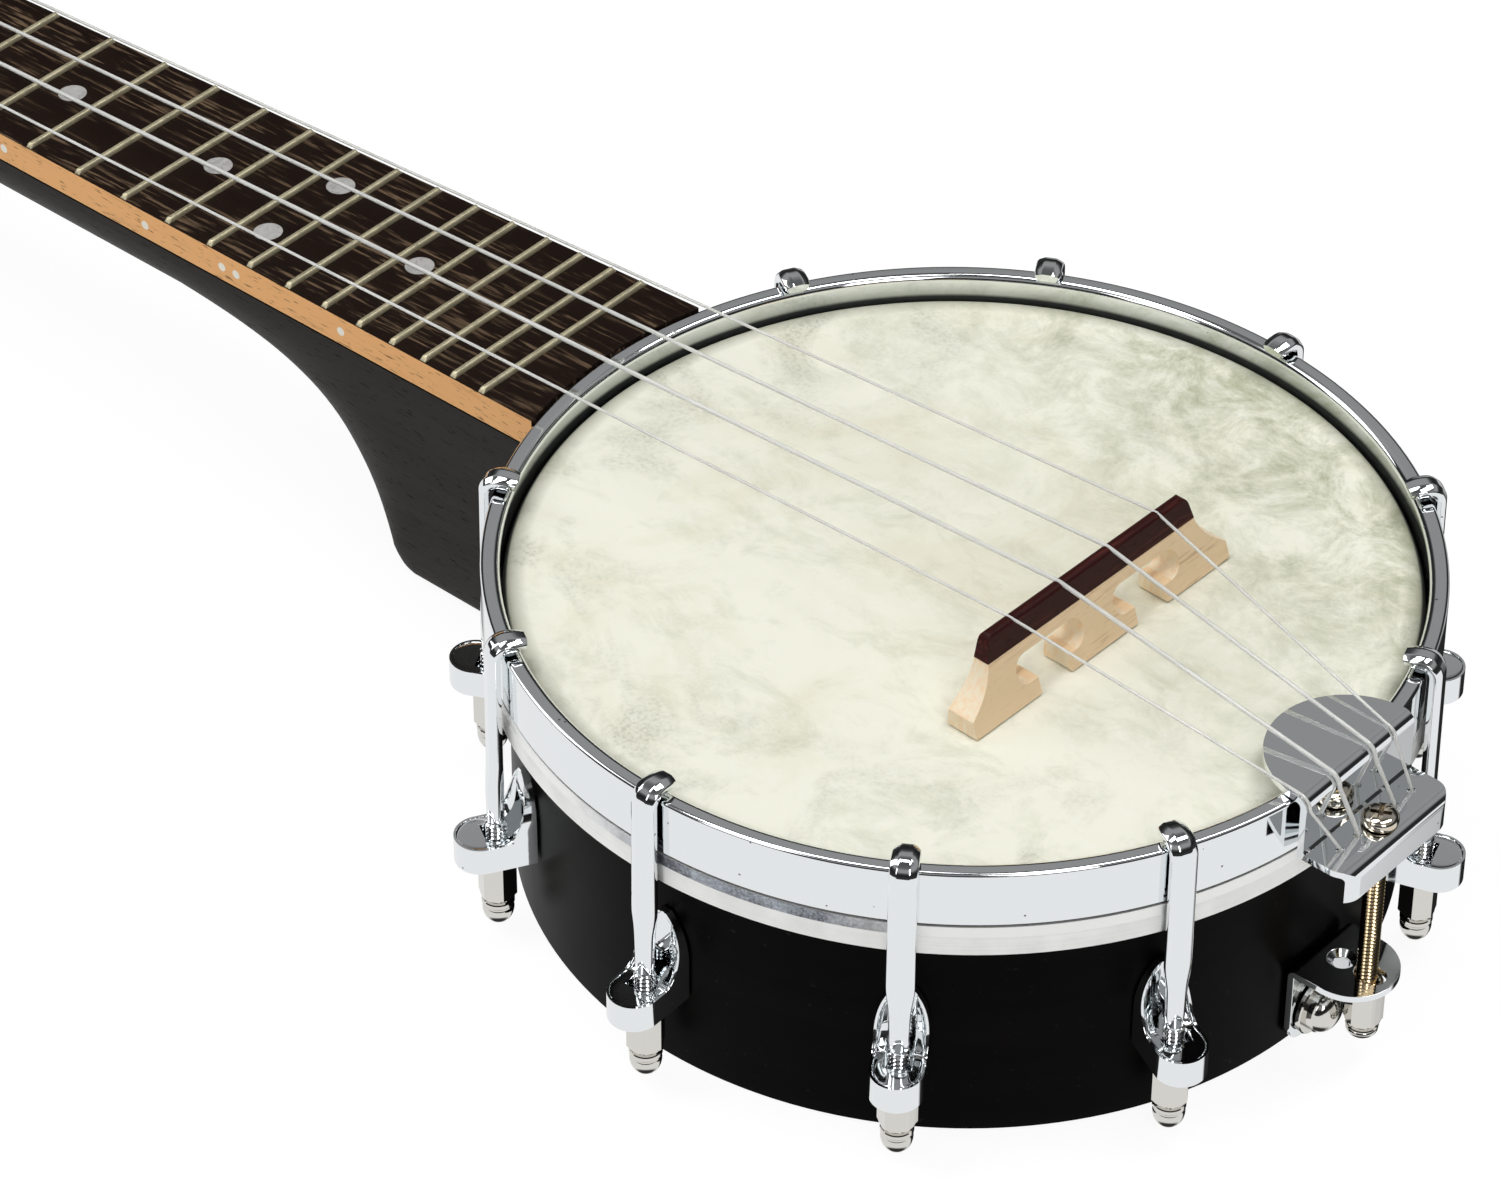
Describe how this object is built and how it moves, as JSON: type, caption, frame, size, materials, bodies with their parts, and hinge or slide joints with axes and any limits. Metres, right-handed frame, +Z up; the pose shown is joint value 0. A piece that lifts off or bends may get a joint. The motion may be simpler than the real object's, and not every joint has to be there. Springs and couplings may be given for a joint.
{
  "type": "banjo ukulele",
  "caption": "Concert-scale banjo ukulele with an open-back round pot, hook-tensioned skin head, fretted neck, arched maple bridge and worm-geared tuners, lying on its back.",
  "frame": {"origin": "centre of the overall box, on the plane of the rim's lower edge that it lies on", "axes": "+X from the head of the neck to the tailpiece, +Y to the player's treble side, +Z up through the skin towards the strings"},
  "size_m": [0.5576, 0.1958, 0.0774],
  "materials": {
    "rim_finish": "laminated wood with a very dark brown, almost black satin lacquer",
    "skin": "cream rawhide drum skin, faintly mottled with green-grey fibres, matte",
    "aluminium": "satin silver",
    "chrome": "polished chrome plate",
    "nickel": "nickel plated, satin, with fine turning marks",
    "brass": "plated brass, worn on the head, bare gold on the thread",
    "neck_wood": "open-pored wood stained black, satin",
    "board_wood": "very dark rosewood with fine light streaks, light brown edge",
    "bone": "ivory coloured, lightly polished",
    "maple": "bare maple with fine grain",
    "cap_wood": "dark red-brown hardwood, oiled",
    "string_nylon": "clear nylon, glossy"
  },
  "bodies": {
    "body": {"rim": "rim_finish", "drum_head": "skin", "flesh_hoop": "aluminium", "tension_hoop": "chrome", "hook_1": "chrome", "bracket_shoe_1": "chrome", "hook_2": "chrome", "bracket_shoe_2": "chrome", "hook_3": "chrome", "bracket_shoe_3": "chrome", "hook_4": "chrome", "bracket_shoe_4": "chrome", "hook_5": "chrome", "bracket_shoe_5": "chrome", "hook_6": "chrome", "bracket_shoe_6": "chrome", "hook_7": "chrome", "bracket_shoe_7": "chrome", "hook_8": "chrome", "bracket_shoe_8": "chrome", "hook_9": "chrome", "bracket_shoe_9": "chrome", "hook_10": "chrome", "bracket_shoe_10": "chrome", "tailpiece": "chrome", "tailpiece_screw": "brass", "tail_bracket": "chrome", "coordinator_rod": "nickel", "bridge_base": "maple", "bridge_cap": "cap_wood", "neck": "neck_wood", "fingerboard": "board_wood", "string_nut": "bone", "tuner_housing_1": "chrome", "tuner_housing_2": "chrome", "tuner_housing_3": "chrome", "tuner_housing_4": "chrome", "string_1": "string_nylon", "string_2": "string_nylon", "string_3": "string_nylon", "string_4": "string_nylon"},
    "tuner_button_1": {"tuner_button_1": "chrome"},
    "string_post_1": {"string_post_1": "chrome"},
    "tuner_button_2": {"tuner_button_2": "chrome"},
    "string_post_2": {"string_post_2": "chrome"},
    "tuner_button_3": {"tuner_button_3": "chrome"},
    "string_post_3": {"string_post_3": "chrome"},
    "tuner_button_4": {"tuner_button_4": "chrome"},
    "string_post_4": {"string_post_4": "chrome"},
    "hook_nut_1": {"hook_nut_1": "nickel"},
    "hook_nut_2": {"hook_nut_2": "nickel"},
    "hook_nut_3": {"hook_nut_3": "nickel"},
    "hook_nut_4": {"hook_nut_4": "nickel"},
    "hook_nut_5": {"hook_nut_5": "nickel"},
    "hook_nut_6": {"hook_nut_6": "nickel"},
    "hook_nut_7": {"hook_nut_7": "nickel"},
    "hook_nut_8": {"hook_nut_8": "nickel"},
    "hook_nut_9": {"hook_nut_9": "nickel"},
    "hook_nut_10": {"hook_nut_10": "nickel"},
    "tailpiece_nut": {"tailpiece_nut": "nickel"}
  },
  "joints": [
    {"name": "tuner_button_1_turn", "type": "hinge", "parent": "body", "child": "tuner_button_1", "pos_m": [-0.20631, -0.01786, 0.02746], "axis": [0, 1, 0], "continuous": true},
    {"name": "string_post_1_turn", "type": "hinge", "parent": "body", "child": "string_post_1", "pos_m": [-0.20352, -0.01786, 0.04508], "axis": [-0.2084, 0, 0.978], "continuous": true},
    {"name": "tuner_button_2_turn", "type": "hinge", "parent": "body", "child": "tuner_button_2", "pos_m": [-0.23956, -0.01786, 0.02037], "axis": [0, 1, 0], "continuous": true},
    {"name": "string_post_2_turn", "type": "hinge", "parent": "body", "child": "string_post_2", "pos_m": [-0.23677, -0.01786, 0.03799], "axis": [-0.2084, 0, 0.978], "continuous": true},
    {"name": "tuner_button_3_turn", "type": "hinge", "parent": "body", "child": "tuner_button_3", "pos_m": [-0.23956, 0.01814, 0.02037], "axis": [0, 1, 0], "continuous": true},
    {"name": "string_post_3_turn", "type": "hinge", "parent": "body", "child": "string_post_3", "pos_m": [-0.23677, 0.01814, 0.03799], "axis": [-0.2084, 0, 0.978], "continuous": true},
    {"name": "tuner_button_4_turn", "type": "hinge", "parent": "body", "child": "tuner_button_4", "pos_m": [-0.20631, 0.01814, 0.02746], "axis": [0, 1, 0], "continuous": true},
    {"name": "string_post_4_turn", "type": "hinge", "parent": "body", "child": "string_post_4", "pos_m": [-0.20352, 0.01814, 0.04508], "axis": [-0.2084, 0, 0.978], "continuous": true},
    {"name": "hook_nut_1_turn", "type": "hinge", "parent": "body", "child": "hook_nut_1", "pos_m": [0.09915, 0.04288, 0.0172], "axis": [0, 0, 1], "continuous": true},
    {"name": "hook_nut_2_turn", "type": "hinge", "parent": "body", "child": "hook_nut_2", "pos_m": [0.13538, 0.07929, 0.0172], "axis": [0, 0, 1], "continuous": true},
    {"name": "hook_nut_3_turn", "type": "hinge", "parent": "body", "child": "hook_nut_3", "pos_m": [0.1856, 0.09001, 0.0172], "axis": [0, 0, 1], "continuous": true},
    {"name": "hook_nut_4_turn", "type": "hinge", "parent": "body", "child": "hook_nut_4", "pos_m": [0.23353, 0.07156, 0.0172], "axis": [0, 0, 1], "continuous": true},
    {"name": "hook_nut_5_turn", "type": "hinge", "parent": "body", "child": "hook_nut_5", "pos_m": [0.26361, 0.02993, 0.0172], "axis": [0, 0, 1], "continuous": true},
    {"name": "hook_nut_6_turn", "type": "hinge", "parent": "body", "child": "hook_nut_6", "pos_m": [0.09915, -0.04261, 0.0172], "axis": [0, 0, 1], "continuous": true},
    {"name": "hook_nut_7_turn", "type": "hinge", "parent": "body", "child": "hook_nut_7", "pos_m": [0.13319, -0.07778, 0.0172], "axis": [0, 0, 1], "continuous": true},
    {"name": "hook_nut_8_turn", "type": "hinge", "parent": "body", "child": "hook_nut_8", "pos_m": [0.18058, -0.08999, 0.0172], "axis": [0, 0, 1], "continuous": true},
    {"name": "hook_nut_9_turn", "type": "hinge", "parent": "body", "child": "hook_nut_9", "pos_m": [0.22737, -0.07563, 0.0172], "axis": [0, 0, 1], "continuous": true},
    {"name": "hook_nut_10_turn", "type": "hinge", "parent": "body", "child": "hook_nut_10", "pos_m": [0.25976, -0.03894, 0.0172], "axis": [0, 0, 1], "continuous": true},
    {"name": "tailpiece_nut_turn", "type": "hinge", "parent": "body", "child": "tailpiece_nut", "pos_m": [0.27333, 0.00014, 0.0173], "axis": [0, 0, 1], "continuous": true}
  ],
  "couplings": [
    {"joint": "string_post_1_turn", "follows": "tuner_button_1_turn", "ratio": -0.071429},
    {"joint": "string_post_2_turn", "follows": "tuner_button_2_turn", "ratio": -0.071429},
    {"joint": "string_post_3_turn", "follows": "tuner_button_3_turn", "ratio": 0.071429},
    {"joint": "string_post_4_turn", "follows": "tuner_button_4_turn", "ratio": 0.071429}
  ]
}
